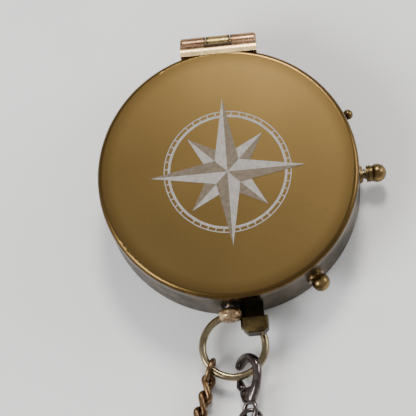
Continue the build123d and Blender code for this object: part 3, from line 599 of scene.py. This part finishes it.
def swept(ring, radius, sides):
    """Points and faces of a round wire along a closed ring about the origin."""
    points, faces = [], []
    count = len(ring)
    for index, place in enumerate(ring):
        onward = (ring[(index + 1) % count] - ring[index - 1]).normalized()
        outward = (place - onward * place.dot(onward)).normalized()
        points.extend(place + p for p in circle(radius, outward, onward.cross(outward), sides))
        near, far = index * sides, (index + 1) % count * sides
        for k in range(sides):
            after = (k + 1) % sides
            faces.append((near + k, near + after, far + after, far + k))
    return points, facing_out(points, faces)


def loft(sections):
    """Points and faces of a skin over sections, closed at both ends."""
    points = [p for section in sections for p in section]
    count = len(sections[0])
    faces = [tuple(range(count)), tuple(range(len(points) - 1, len(points) - count - 1, -1))]
    for row in range(len(sections) - 1):
        near, far = row * count, (row + 1) * count
        for k in range(count):
            after = (k + 1) % count
            faces.append((near + after, near + k, far + k, far + after))
    return points, facing_out(points, faces)


def merged(shells):
    """Points and faces of several shells as one."""
    points, faces = [], []
    for shell_points, shell_faces in shells:
        base = len(points)
        points.extend(shell_points)
        faces.extend(tuple(base + i for i in face) for face in shell_faces)
    return points, faces


def arc(centre, radius, start, end, steps):
    """Profile points of a round, angles in degrees from the axis."""
    turns = [math.radians(start + (end - start) * step / steps) for step in range(steps + 1)]
    return [(centre[0] + radius * math.cos(t), centre[1] + radius * math.sin(t)) for t in turns]


# Release button: the CAD head and stem, its face domed and dented by use
RELEASE_PLACE = Vector((-2.0, 0, 7.5))
STEM_END, STEM_RADIUS, BORE_END, BORE_RADIUS = 22.35, 0.75, 27.32, 1.17
HEAD_START, HEAD_END, HEAD_RADIUS, HEAD_ROUND = 26.322, 28.822, 2.35, 1.1
HEAD_MIDDLE, HEAD_DOME, HEAD_STEPS = RELEASE_PLACE + SOUTH * 27.6, 0.09, 64
DENT_DEPTH, DENT_REACH, RIPPLE = 0.17, 0.62, 0.06


def dented(point):
    """Point of the head's outside, moved in by a dent and a ripple."""
    distance = noise.voronoi(point * 1.1)[0][0]
    depth = DENT_DEPTH * max(0.0, 1.0 - distance / DENT_REACH) + RIPPLE * noise.noise(point * 1.7)
    return point + (HEAD_MIDDLE - point).normalized() * depth


core = HEAD_RADIUS - HEAD_ROUND
inside = [
    (STEM_END, 0.02), (STEM_END, STEM_RADIUS), (BORE_END, STEM_RADIUS), (BORE_END, BORE_RADIUS),
    (HEAD_START, BORE_RADIUS),
]
outside = arc((HEAD_START + HEAD_ROUND, core), HEAD_ROUND, 180, 90, 10)
outside += arc((HEAD_END - HEAD_ROUND, core), HEAD_ROUND, 90, 0, 10)
for radius in (1.05, 0.85, 0.65, 0.45, 0.25, 0.05):
    outside.append((HEAD_END + HEAD_DOME * (1 - (radius / core) ** 2), radius))
sections = []
for distance, radius in inside + outside:
    ring = circle(radius, *square_to(SOUTH), HEAD_STEPS)
    sections.append([RELEASE_PLACE + SOUTH * distance + p for p in ring])
for row in range(len(inside), len(sections)):
    sections[row] = [dented(p) for p in sections[row]]
button = mesh_piece(
    "release_head", *loft(sections), [worn_brass], "knob_brass", "release_button"
)
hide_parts("release_button")

# Beads turned on the clamp knob's neck
CLAMP_PLACE = Vector((0, 0, 4.2))
BEAD_WIRE = 0.16
beads = []
for distance, radius in ((27.32, 1.58), (27.75, 1.62)):
    points, faces = swept(circle(radius, NORTH, UP, 48), BEAD_WIRE, 10)
    beads.append(([p + CLAMP_PLACE + EAST * distance for p in points], faces))
mesh_piece("clamp_beads", *merged(beads), [knob_brass], "knob_brass", "clamp_button")

# Chain: its route is the control points of a NURBS line, and the links lie along that line
CHAIN_LIES = 1.6
chain_route = [
    (-7.5525, -38.1877, 2.035),
    (-8.6322, -44.0897, CHAIN_LIES),
    (-16.4, -57.5, CHAIN_LIES),
    (-22.6, -64.6, CHAIN_LIES),
    (-26.6, -73.4, CHAIN_LIES),
    (-27.8, -82.8, CHAIN_LIES),
    (-26.4, -91.4, CHAIN_LIES),
    (-20.8, -97.6, CHAIN_LIES),
    (-12.6, -97.6, CHAIN_LIES),
    (-7.1, -91.4, CHAIN_LIES),
    (-6.2, -82.4, CHAIN_LIES),
    (-6.2, -74.8, CHAIN_LIES),
    (-1.8, -68.6, CHAIN_LIES),
    (6.4, -68.6, CHAIN_LIES),
    (11.9, -74.6, CHAIN_LIES),
    (12.6, -82.0, CHAIN_LIES),
    (11.8, -91.4, CHAIN_LIES),
    (17.2, -97.6, CHAIN_LIES),
    (25.4, -97.6, CHAIN_LIES),
    (30.9, -91.4, CHAIN_LIES),
    (31.6, -82.6, CHAIN_LIES),
    (29.6, -74.0, CHAIN_LIES),
    (25.0, -66.6, CHAIN_LIES),
    (17.0, -64.2, CHAIN_LIES),
    (9.2, -63.6, CHAIN_LIES),
    (2.6, -61.0, CHAIN_LIES),
    (0.0477, -55.4028, CHAIN_LIES),
    (0.1077, -49.4031, 2.3057),
]
curve = bpy.data.curves.new("chain_line", "CURVE")
curve.dimensions = "3D"
curve.resolution_u = 24
spline = curve.splines.new("NURBS")
spline.points.add(len(chain_route) - 1)
for point, place in zip(spline.points, chain_route):
    point.co = (*(MM * c for c in place), 1.0)
spline.order_u = 3
spline.use_endpoint_u = True
line_mesh = mesh_of(curve)
line = [v.co / MM for v in line_mesh.vertices]
bpy.data.meshes.remove(line_mesh)
runs = [0.0]
for a, b in zip(line, line[1:]):
    runs.append(runs[-1] + (b - a).length)


def on_line(distance):
    """Point and direction on the chain's line, at a distance along it."""
    index = bisect_left(runs, distance) - 1
    share = (distance - runs[index]) / (runs[index + 1] - runs[index])
    a, b = line[index], line[index + 1]
    return a.lerp(b, share), (b - a).normalized()


LINK_LONG, LINK_WIDE, LINK_WIRE = 4.9, 2.6, 0.6
LINK_TWIST, LINK_TILT = math.radians(-120.0), math.radians(90.0)
LINK_PITCH = 3.4
LINK_STEPS, LINK_SIDES = 40, 12
FLOOR_GAP = 0.03


def link_ring():
    """Centre line of one link along +X: an oval twisted by a third of a turn end to end."""
    half_wide = LINK_WIDE / 2
    straight = LINK_LONG / 2 - half_wide
    ring = []
    for step in range(LINK_STEPS):
        turn = 2 * math.pi * (step + 0.5) / LINK_STEPS
        along = half_wide * math.cos(turn) + math.copysign(straight, math.cos(turn))
        out = half_wide * math.sin(turn)
        twist = LINK_TWIST * along / LINK_LONG
        ring.append(Vector((along, out * math.cos(twist), out * math.sin(twist))))
    return ring


link_points, link_faces = swept(link_ring(), LINK_WIRE, LINK_SIDES)
link_room = runs[-1] - LINK_LONG
link_gaps = round(link_room / LINK_PITCH)
links = []
for index in range(link_gaps + 1):
    place, onward = on_line(LINK_LONG / 2 + index * link_room / link_gaps)
    across = UP.cross(onward).normalized()
    tilt = Matrix.Rotation(LINK_TILT, 3, onward)
    basis = Matrix((onward, tilt @ across, tilt @ onward.cross(across))).transposed()
    points = [place + basis @ p for p in link_points]
    rise = max(0.0, FLOOR_GAP - min(p.z for p in points))
    links.append(([p + UP * rise for p in points], link_faces))
chain = mesh_piece("chain", *merged(links), [chain_copper], "chain_copper")
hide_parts("chain_links")
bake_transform(chain)

# First link, which hooks the chain on the bow ring in place of the CAD end ring
FIRST_LINK_PLACE = Vector((-7.134, -37.1706, 2.72))
FIRST_LINK_RADIUS, FIRST_LINK_WIRE = 2.2, 0.5
heading = Vector((-0.18, -0.984, 0)).normalized()
heading.rotate(Matrix.Rotation(math.radians(-12.0), 3, "Z"))
ring = circle(FIRST_LINK_RADIUS, heading, UP, 48, start=0.5)
points, faces = swept(ring, FIRST_LINK_WIRE, 12)
first_link = mesh_piece(
    "chain_first_link", [p + FIRST_LINK_PLACE for p in points], faces,
    [chain_copper], "chain_copper", "bow",
)
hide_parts("chain_end_ring")

# Clasp: a cast hook, slotted body and eye, and a gate, rounder than the CAD ones and in their plane
CLASP_ORIGIN = Vector((0.141, -46.036, 3.145))
CLASP_FORWARD = Vector((0.01, 1.0, 0)).normalized()
CLASP_NORMAL = Vector((0.731317, -0.007313, -0.681998))
CLASP_ACROSS = CLASP_NORMAL.cross(CLASP_FORWARD)
HOOK_MIDDLE, HOOK_BEND = 7.6, 3.02
SLOT_START, SLOT_BACK, SLOT_HALF = 2.1, 0.1, 0.6
EYE_RADIUS, EYE_WIRE = 1.78, 0.48
SQUARENESS = 2.7
ROW_STEPS, SECTION_STEPS = 4, 24


def on_clasp(u, v, w):
    """Point from distances along the clasp, across it and through its plane."""
    return CLASP_ORIGIN + CLASP_FORWARD * u + CLASP_ACROSS * v + CLASP_NORMAL * w


def smoothed(rows):
    """The rows with a smooth curve put through each column."""
    result = []
    for index in range(len(rows) - 1):
        four = [rows[min(max(index + k, 0), len(rows) - 1)] for k in (-1, 0, 1, 2)]
        for t in (step / ROW_STEPS for step in range(ROW_STEPS)):
            result.append(tuple(
                0.5 * (
                    2 * b + (c - a) * t + (2 * a - 5 * b + 4 * c - d) * t ** 2
                    + (3 * b - a - 3 * c + d) * t ** 3
                )
                for a, b, c, d in zip(*four)
            ))
    return result + [rows[-1]]


def squarish(turn):
    """Point of a unit section between a circle and a square."""
    return tuple(
        math.copysign(abs(c) ** (2 / SQUARENESS), c) for c in (math.cos(turn), math.sin(turn))
    )


unit_section = [squarish(2 * math.pi * (i + 0.5) / SECTION_STEPS) for i in range(SECTION_STEPS)]

# Hook: place along and across, then half its thickness in the plane and through it
rows = [
    (2.4, 1.0, 0.8, 0.9), (3.4, 1.7, 0.86, 0.9), (4.4, 2.25, 0.88, 0.86), (5.6, 2.68, 0.86, 0.8),
    (6.8, 2.95, 0.86, 0.78),
]
for degrees, thick, deep in (
    (12, 0.88, 0.8), (34, 0.92, 0.84), (56, 0.95, 0.88), (78, 0.97, 0.92), (100, 0.98, 0.92),
    (122, 0.96, 0.88), (142, 0.86, 0.8), (151, 0.68, 0.64), (156, 0.36, 0.36), (157.5, 0.04, 0.05),
):
    turn = math.radians(degrees)
    u, v = HOOK_MIDDLE + HOOK_BEND * math.sin(turn), HOOK_BEND * math.cos(turn)
    rows.append((u, v, thick, deep))
rows = smoothed(rows)
sections = []
for index, (u, v, thick, deep) in enumerate(rows):
    before, after = rows[max(index - 1, 0)], rows[min(index + 1, len(rows) - 1)]
    onward = Vector((after[0] - before[0], after[1] - before[1])).normalized()
    sections.append([
        on_clasp(u - onward.y * thick * a, v + onward.x * thick * a, deep * b)
        for a, b in unit_section
    ])
shells = [loft(sections)]

# Body: place along, its two sides across and half its depth, with a slot for the gate
sections = []
for u, left, right, half in smoothed([
    (1.2, -0.9, 0.9, 0.5), (1.6, -1.5, 1.5, 0.85), (2.1, -1.8, 1.8, 1.02), (3.0, -2.1, 2.15, 1.1),
    (3.8, -2.35, 2.55, 1.06), (4.2, -2.3, 2.75, 0.98), (4.4, -2.05, 2.65, 0.88),
    (4.46, -1.7, 2.45, 0.76),
]):
    middle, reach, slot = (left + right) / 2, (right - left) / 2, min(SLOT_HALF, 0.8 * half)
    lip = math.asin((slot / half) ** (SQUARENESS / 2))
    section = []
    for step in range(-16, 17):
        a, b = squarish((math.pi - lip) * step / 16)
        section.append((middle + reach * a, half * b))
    back = SLOT_BACK if u > SLOT_START else section[-1][0] + 0.03
    section += [(back, slot), (back, -slot)]
    sections.append([on_clasp(u, v, w) for v, w in section])
shells.append(loft(sections))

eye_points, eye_faces = swept(circle(EYE_RADIUS, CLASP_FORWARD, CLASP_ACROSS, 40), EYE_WIRE, 14)
shells.append(([p + CLASP_ORIGIN for p in eye_points], eye_faces))
shell = mesh_piece("clasp_shell", *merged(shells), [clasp_gunmetal], "clasp_gunmetal", "bow")
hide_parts("clasp_body")

# Gate: place along, its two sides across and half its depth
sections = []
for u, inner, outer, half in smoothed([
    (2.42, -0.85, -1.15, 0.2), (2.5, -0.5, -1.5, 0.4), (3.2, -0.25, -1.85, 0.47),
    (4.0, -0.6, -2.4, 0.49), (4.5, -0.8, -2.75, 0.48), (4.9, -1.0, -3.15, 0.54),
    (5.3, -1.25, -3.3, 0.72), (6.2, -1.8, -3.15, 0.64), (7.0, -2.2, -3.15, 0.52),
    (7.6, -2.32, -3.22, 0.5), (8.05, -2.42, -3.2, 0.44), (8.2, -2.6, -3.0, 0.2),
]):
    middle, reach = (inner + outer) / 2, (inner - outer) / 2
    sections.append([on_clasp(u, middle + reach * a, half * b) for a, b in unit_section])
gate = mesh_piece(
    "clasp_gate", *loft(sections), [clasp_gunmetal], "clasp_gunmetal", "clasp_lever"
)
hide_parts("clasp_lever")

# Springs of the two buttons
SPRING_WIRE, COIL_STEPS, TRAVEL = 0.13, 24, 0.6


def coil(name, node, place, along, start, end, radius, turns):
    """Spring on an axis through a place, from a start to an end."""
    first, second = square_to(along)
    steps = COIL_STEPS * turns
    sections = []
    for step in range(steps + 1):
        angle = 2 * math.pi * step / COIL_STEPS
        around = math.cos(angle) * first + math.sin(angle) * second
        distance = start + SPRING_WIRE + (end - start - 2 * SPRING_WIRE) * step / steps
        middle = place + along * distance + around * radius
        sections.append([middle + p for p in circle(SPRING_WIRE, around, along, 8)])
    piece = mesh_piece(name, *loft(sections), [spring_steel], "spring_steel", "case")
    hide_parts(node)
    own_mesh(piece)


coil(
    "clamp_coil", "clamp_spring", CLAMP_PLACE, EAST,
    start=26.4, end=27.9, radius=1.01, turns=3,
)
coil(
    "release_coil", "release_spring", RELEASE_PLACE, SOUTH,
    start=25.672, end=27.32, radius=0.96, turns=4,
)

# Stage and light, in metres
FLOOR_HALF = 3.0
LIGHT_TARGET = Vector((0, 0, 0.01))
g = Graph("floor_paint")
g.paint(g.ramp(g.noise(30.0), [(0.3, srgb(240, 239, 237)), (0.7, srgb(246, 245, 243))]))
g.shader.inputs["Roughness"].default_value = 0.8
floor_mesh = bpy.data.meshes.new("floor")
corners = [(FLOOR_HALF * x, FLOOR_HALF * y, 0) for x, y in ((-1, -1), (1, -1), (1, 1), (-1, 1))]
floor_mesh.from_pydata(corners, [], [(0, 1, 2, 3)])
floor_mesh.materials.append(g.material)
put_in_scene("floor", floor_mesh)

world = bpy.data.worlds.new("studio")
world.use_nodes = True
sky = world.node_tree.nodes["Background"]
sky.inputs["Color"].default_value = (0.96, 0.97, 1.0, 1.0)
sky.inputs["Strength"].default_value = 0.42
bpy.context.scene.world = world


def area_light(name, place, size, power, colour=(1.0, 1.0, 1.0)):
    """Round soft light turned to the object."""
    light = bpy.data.lights.new(name, "AREA")
    light.shape = "DISK"
    light.size = size
    light.energy = power
    light.color = colour
    lamp = put_in_scene(name, light)
    lamp.location = place
    lamp.rotation_euler = (LIGHT_TARGET - Vector(place)).to_track_quat("-Z", "Y").to_euler()


area_light("key", (0.07, 0.52, 0.64), size=0.22, power=4.6, colour=(1.0, 0.97, 0.92))
area_light("fill", (-0.6, -0.3, 0.5), size=0.5, power=6.5, colour=(0.97, 0.98, 1.0))
area_light("side", (0.7, 0.2, 0.35), size=0.4, power=2.4)

# Camera at the photograph's angle, with the lid's middle at its place in the photograph's frame
PHOTO_SIZE = 416
LID_ACROSS, LID_DOWN = 227.5, 171.4
PIXEL = 0.1976 * MM
CAMERA_DISTANCE = 600 * MM
SENSOR = 36.0
LEAN_EAST, LEAN_SOUTH, ROLL = (math.radians(a) for a in (3.12, 18.91, 4.5))
lid_centre = UP * LID_TOP * MM
towards = Vector((math.sin(LEAN_EAST), -math.sin(LEAN_SOUTH), 0))
towards.z = math.sqrt(1 - towards.length_squared)
camera_place = lid_centre + towards * CAMERA_DISTANCE
forward = -towards
north_seen = (NORTH - forward * forward.y).normalized()
up = north_seen * math.cos(ROLL) + forward.cross(north_seen) * math.sin(ROLL)
right = forward.cross(up)
aim = lid_centre - right * (LID_ACROSS - PHOTO_SIZE / 2) * PIXEL
aim -= up * (PHOTO_SIZE / 2 - LID_DOWN) * PIXEL
forward = (aim - camera_place).normalized()
right = forward.cross(up).normalized()
up = right.cross(forward)
camera_data = bpy.data.cameras.new("photo_view")
camera_data.sensor_width = SENSOR
camera_data.lens = SENSOR * CAMERA_DISTANCE / (PHOTO_SIZE * PIXEL)
camera_data.clip_start = 0.01
camera = put_in_scene("photo_view", camera_data)
camera.matrix_world = Matrix((right, up, -forward)).transposed().to_4x4()
camera.location = camera_place
bpy.context.scene.camera = camera
